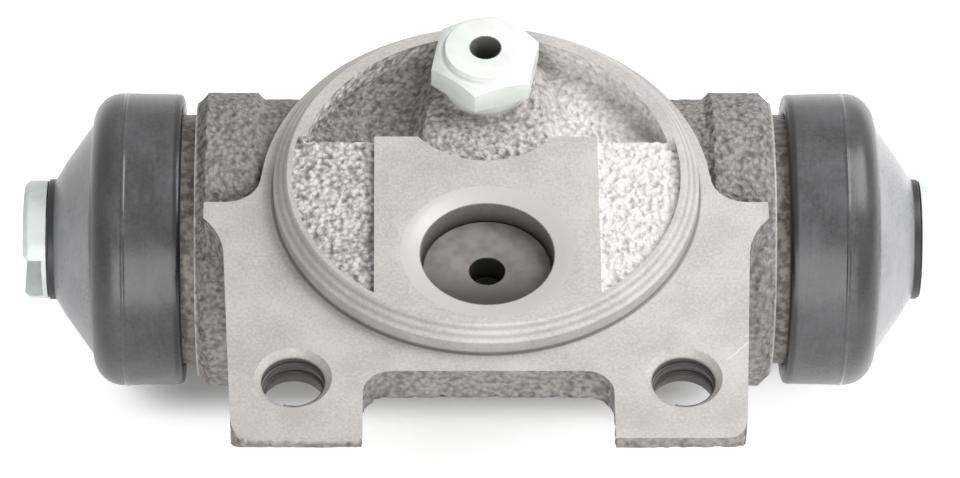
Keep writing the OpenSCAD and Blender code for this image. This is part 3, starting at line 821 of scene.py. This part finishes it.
def buildUpright(name, section, centreY, segments, finish, body):
    # a turned piece whose axis stands up at x 0
    def spot(z, r, a):
        return r * math.cos(a), centreY + r * math.sin(a), z

    piece = addPiece(name, turnedMesh(name, section, spot, segments), finish)
    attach(piece, body)
    print(name, "made")


def screwFaceSection():
    c = screwFace
    top = plan["bleedTopZ"]
    low = top - c["rise"] - c["seat"]
    inner = plan["bleedHoleR"] - c["gap"]
    return roundedLoop([
        (low, inner, 0.0), (top, inner, c["holeRound"]),
        (top, c["radius"], c["round"]), (low, c["radius"], 0.0),
    ], c["cornerSteps"])


def plugSection():
    c = plug
    low = plan["portMouthZ"] + c["rest"]
    top = low + c["rise"]
    holeTop = top - c["dish"]
    holeFloor = holeTop - c["holeDepth"]
    stemEnd = low - c["stemLen"]
    return roundedLoop([
        (holeFloor, 0.0, 0.0), (holeFloor, c["holeR"], 0.1), (holeTop, c["holeR"], 0.12),
        (top, c["faceR"], 0.2), (low, c["faceR"], 0.06),
        (low, c["stemR"], 0.05), (stemEnd, c["stemR"], 0.3), (stemEnd, 0.0, 0.0),
    ], c["cornerSteps"])


buildUpright("screw_face", screwFaceSection(), plan["bleedY"], screwFace["segments"],
             drilledZinc, "bleeder")
buildUpright("port_plug", plugSection(), plan["portY"], plug["segments"],
             plugRubber, "housing")


# node trees for what winds round an axis
def newTree(name, sizes):
    tree = bpy.data.node_groups.new(name, "GeometryNodeTree")
    tree.interface.new_socket("Mesh", in_out="OUTPUT", socket_type="NodeSocketGeometry")
    for label, kind in sizes.items():
        tree.interface.new_socket(label, in_out="INPUT", socket_type=kind)
    graph = Graph(tree)
    source = graph.add("NodeGroupInput")
    return tree, graph, {label: source.of(label) for label in sizes}


def closeTree(graph, mesh, finish):
    real = graph.add("GeometryNodeRealizeInstances", None, {"Geometry": mesh})
    dressed = graph.add("GeometryNodeSetMaterial", None, {"Geometry": real, "Material": finish})
    graph.add("NodeGroupOutput", None, {0: dressed})


def grow(name, tree, values):
    holder = bpy.data.objects.new(name, bpy.data.meshes.new(name))
    scene.collection.objects.link(holder)
    modifier = holder.modifiers.new("grow", "NODES")
    modifier.node_group = tree
    for item in tree.interface.items_tree:
        if item.in_out == "INPUT":
            modifier[item.identifier] = values[item.name]
    depsgraph = bpy.context.evaluated_depsgraph_get()
    mesh = bpy.data.meshes.new_from_object(holder.evaluated_get(depsgraph), depsgraph=depsgraph)
    holder.modifiers.remove(modifier)
    holder.data = mesh
    work = bmesh.new()
    work.from_mesh(mesh)
    bmesh.ops.recalc_face_normals(work, faces=work.faces)
    work.to_mesh(mesh)
    work.free()
    mesh.name = name
    return holder


# the spring in two halves, a left and a right
spring = {"steps": 150, "wireSides": 12, "shutPitch": 2.08, "seat": 1.2}


def springTree():
    tree, g, size = newTree("coil_spring", {
        "Length": "NodeSocketFloat", "Radius": "NodeSocketFloat", "Wire": "NodeSocketFloat",
        "Turns": "NodeSocketFloat", "From": "NodeSocketFloat", "To": "NodeSocketFloat",
        "Steps": "NodeSocketInt", "Sides": "NodeSocketInt", "Shut Pitch": "NodeSocketFloat",
        "Centre": "NodeSocketVector", "Finish": "NodeSocketMaterial",
    })
    line = g.add("GeometryNodeMeshLine", None, {"Count": size["Steps"]})
    path = g.add("GeometryNodeMeshToCurve", None, {0: line})
    share = g.add("GeometryNodeInputIndex") / (size["Steps"] - 1)
    turn = size["From"] + share * (size["To"] - size["From"])  # which turn a point is on
    shut = size["Wire"] * size["Shut Pitch"]  # the end turns lie shut
    half = size["Length"] / 2 - size["Wire"]
    pitch = (half * 2 - shut * 2) / (size["Turns"] - 2)
    first = turn.sum("MINIMUM", 1.0)
    between = (turn - 1).sum("MAXIMUM", 0.0).sum("MINIMUM", size["Turns"] - 2)
    last = (turn - (size["Turns"] - 1)).sum("MAXIMUM", 0.0)
    along = shut * (first + last) + pitch * between - half
    angle = turn * (2 * math.pi)
    spot = g.add("ShaderNodeCombineXYZ", None, {
        0: along, 1: size["Radius"] * angle.sum("SINE"), 2: size["Radius"] * angle.sum("COSINE") * -1})
    place = g.add("ShaderNodeVectorMath", {"operation": "ADD"}, {0: spot, 1: size["Centre"]})
    wound = g.add("GeometryNodeSetPosition", None, {"Geometry": path, "Position": place})
    ring = g.add("GeometryNodeCurvePrimitiveCircle", None, {
        "Resolution": size["Sides"], "Radius": size["Wire"]})
    wire = g.add("GeometryNodeCurveToMesh", None, {
        "Curve": wound, "Profile Curve": ring, "Fill Caps": True})
    smooth = g.add("GeometryNodeSetShadeSmooth", None, {0: wire})
    closeTree(g, smooth, size["Finish"])
    return tree


def buildSpring():
    tree = springTree()
    p = plan
    axis = (p["boreY"] * mm, p["boreZ"] * mm)
    for end, side, start, stop in (("left", -1, 0.0, 0.5), ("right", 1, 0.5, 1.0)):
        piece = grow("spring_" + end + "_half", tree, {
            "Length": p["springLen"] * mm, "Radius": p["springR"] * mm, "Wire": p["wireR"] * mm,
            "Turns": float(p["springTurns"]),
            "From": start * p["springTurns"], "To": stop * p["springTurns"],
            "Steps": spring["steps"], "Sides": spring["wireSides"], "Shut Pitch": spring["shutPitch"],
            "Centre": (0.0, *axis), "Finish": springSteel,
        })
        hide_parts("return_spring")
        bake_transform(piece)
    print("spring wound")


buildSpring()


# thread ridges in the bolt holes and the port, in mm: a path just inside the wall, short of both ends
threads = {
    "turnSteps": 48, "ridgeSides": 4, "inWall": 0.06,
    "boltPitch": 1.0, "boltRidge": 0.3, "boltFrom": 0.35, "boltShort": 1.1,
    "portPitch": 1.0, "portRidge": 0.32, "portFrom": 1.2, "portShort": 1.6,
}


def threadTree():
    tree, g, size = newTree("thread_ridge", {
        "Radius": "NodeSocketFloat", "Pitch": "NodeSocketFloat", "Depth": "NodeSocketFloat",
        "Ridge": "NodeSocketFloat", "Steps": "NodeSocketInt", "Sides": "NodeSocketInt",
        "Count": "NodeSocketInt", "First": "NodeSocketVector", "Step": "NodeSocketVector",
        "Finish": "NodeSocketMaterial",
    })
    path = g.add("GeometryNodeCurveSpiral", None, {
        "Resolution": size["Steps"], "Rotations": size["Depth"] / size["Pitch"],
        "Start Radius": size["Radius"], "End Radius": size["Radius"], "Height": size["Depth"]})
    profile = g.add("GeometryNodeCurvePrimitiveCircle", None, {
        "Resolution": size["Sides"], "Radius": size["Ridge"]})
    ridge = g.add("GeometryNodeCurveToMesh", None, {
        "Curve": path, "Profile Curve": profile, "Fill Caps": True})
    spots = g.add("GeometryNodeMeshLine", None, {
        "Count": size["Count"], "Start Location": size["First"], "Offset": size["Step"]})
    each = g.add("GeometryNodeInstanceOnPoints", None, {"Points": spots, "Instance": ridge})
    closeTree(g, each, size["Finish"])
    return tree


def buildThreads():
    tree = threadTree()
    p = plan
    t = threads
    for name, values in (
        ("bolt_threads", {
            "Radius": (p["boltR"] + t["inWall"]) * mm, "Pitch": t["boltPitch"] * mm,
            "Depth": (p["flangeT"] - t["boltShort"]) * mm, "Ridge": t["boltRidge"] * mm, "Count": 2,
            "First": (-p["boltX"] * mm, p["boltY"] * mm, (t["boltFrom"] - p["flangeT"]) * mm),
            "Step": (2 * p["boltX"] * mm, 0.0, 0.0)}),
        ("port_thread", {
            "Radius": (p["portR"] + t["inWall"]) * mm, "Pitch": t["portPitch"] * mm,
            "Depth": (p["portMouthZ"] - p["portFloorZ"] - t["portShort"]) * mm,
            "Ridge": t["portRidge"] * mm, "Count": 1,
            "First": (0.0, p["portY"] * mm, (p["portFloorZ"] + t["portFrom"]) * mm),
            "Step": (0.0, 0.0, 0.0)}),
    ):
        piece = grow(name, tree, {
            **values, "Steps": t["turnSteps"], "Sides": t["ridgeSides"], "Finish": iron})
        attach(piece, "housing")
    print("threads cut")


buildThreads()

# the inner pieces keep their solids and get their own finishes
for end in ("left", "right"):
    for node, finish in ((end + "_cup_seal", cupRubber), (end + "_cup_expander", springSteel)):
        nodes[node].data.materials.clear()
        nodes[node].data.materials.append(finish)


def seenWhite(g):  # 1 for what the camera, a gloss or a glass sees, 0 for what lights the part
    path = g.add("ShaderNodeLightPath")
    seen = path.of("Is Camera Ray") + path.of("Is Glossy Ray") + path.of("Is Transmission Ray")
    return seen.sum("MINIMUM", 1.0)


# pale floor under the lowest point: white all round, with the shade kept close under the part; limits in mm
floorLook = {
    "colour": (0.8, 0.8, 0.8, 1), "glow": 0.7, "shadeReach": 35, "shadeSamples": 8, "size": 6000,
    "frontY": (-4.2, 0.3), "backY": (14, 24), "middleX": -5, "sideX": (19, 27),
    "paleX": (12, 30), "paleShare": 0.12, "bareRange": (0.08, 0.26),
}


def buildFloor():
    look = floorLook
    finish, g = newFinish("pale_floor")
    near = g.add("ShaderNodeAmbientOcclusion", {"samples": look["shadeSamples"]},
                 {"Distance": look["shadeReach"] * mm}, out="AO")
    x, y = g.spot(g.place(), "XY")
    under = g.within(y, *look["frontY"]) * g.within(y, *look["backY"], 1.0, 0.0)
    under = under * g.within((x - look["middleX"]).sum("ABSOLUTE"), *look["sideX"], 1.0, 0.0)
    pale = g.within(x, *look["paleX"]) * look["paleShare"]  # the shade is fainter on the right
    bare = g.within(near + pale, *look["bareRange"]) * (1 - under)
    glow = g.add("ShaderNodeEmission", None, {"Strength": seenWhite(g) * bare * look["glow"]})
    matt = g.add("ShaderNodeBsdfDiffuse", None, {"Color": look["colour"]})
    both = g.add("ShaderNodeAddShader", None, {0: matt, 1: glow})
    g.add("ShaderNodeOutputMaterial", None, {"Surface": both})
    half = look["size"] / 2 * mm
    low = cadBox[0].z
    mesh = bpy.data.meshes.new("floor")
    mesh.from_pydata([(-half, -half, low), (half, -half, low), (half, half, low), (-half, half, low)],
                     [], [(0, 1, 2, 3)])
    addPiece("floor", mesh, finish)
    print("floor laid")


buildFloor()


# soft studio light, in metres: a tent, bright on the right and dim on the left, a near key and a front lamp
light = {
    "dim": 0.2, "bright": 0.6, "tentX": (-0.7, 0.8),
    "lamps": {
        "key": {"at": (0.125, 0.04, 0.15), "size": 0.15, "power": 0.385},
        "front": {"at": (-0.02, -0.36, 0.10), "size": 0.3, "power": 1.05},
    },
    "aim": (0.0, 0.0, -0.006),
}


def buildLight():
    world = bpy.data.worlds.new("tent")
    scene.world = world
    world.use_nodes = True
    world.node_tree.nodes.clear()
    g = Graph(world.node_tree)

    def glow(strength):
        return g.add("ShaderNodeBackground", None, {"Color": (1, 1, 1, 1), "Strength": strength})

    across = g.add("ShaderNodeSeparateXYZ", None, {0: g.add("ShaderNodeTexCoord", out="Generated")})
    share = g.within(across, *light["tentX"])
    tent = g.add("ShaderNodeMixShader", None, {0: share, 1: glow(light["dim"]), 2: glow(light["bright"])})
    back = g.add("ShaderNodeMixShader", None, {0: seenWhite(g), 1: tent, 2: glow(1.0)})
    g.add("ShaderNodeOutputWorld", None, {"Surface": back})
    for name, lamp in light["lamps"].items():
        data = bpy.data.lights.new(name, "AREA")
        data.size = lamp["size"]
        data.energy = lamp["power"]
        holder = bpy.data.objects.new(name, data)
        holder.location = lamp["at"]
        aim = Vector(light["aim"]) - Vector(lamp["at"])
        holder.rotation_euler = aim.to_track_quat("-Z", "Y").to_euler()
        scene.collection.objects.link(holder)
    scene.view_settings.view_transform = "Standard"
    print("light set")


buildLight()

# camera at the photograph's angle, in metres and degrees: a long lens from the front, about halfway up
shot = {
    "aim": (0.0, 0.002, -0.006), "azimuth": -1.2, "elevation": 48.5, "roll": 0.9,
    "distance": 0.48, "lens": 221.7, "sensor": 36, "across": -0.0004, "up": -0.00131, "clip": (0.01, 20),
}


def buildCamera():
    data = bpy.data.cameras.new("camera")
    data.lens = shot["lens"]
    data.sensor_width = shot["sensor"]
    data.clip_start, data.clip_end = shot["clip"]
    camera = bpy.data.objects.new("camera", data)
    a, e = math.radians(shot["azimuth"]), math.radians(shot["elevation"])
    back = Vector((math.sin(a) * math.cos(e), -math.cos(a) * math.cos(e), math.sin(e)))
    turn = (-back).to_track_quat("-Z", "Y").to_matrix()
    turn = turn @ Matrix.Rotation(math.radians(shot["roll"]), 3, "Z")
    offset = turn @ Vector((shot["across"], shot["up"], 0))
    stand = Vector(shot["aim"]) + offset + back * shot["distance"]
    camera.matrix_world = Matrix.Translation(stand) @ turn.to_4x4()
    scene.collection.objects.link(camera)
    scene.camera = camera


buildCamera()

print("scene ready")
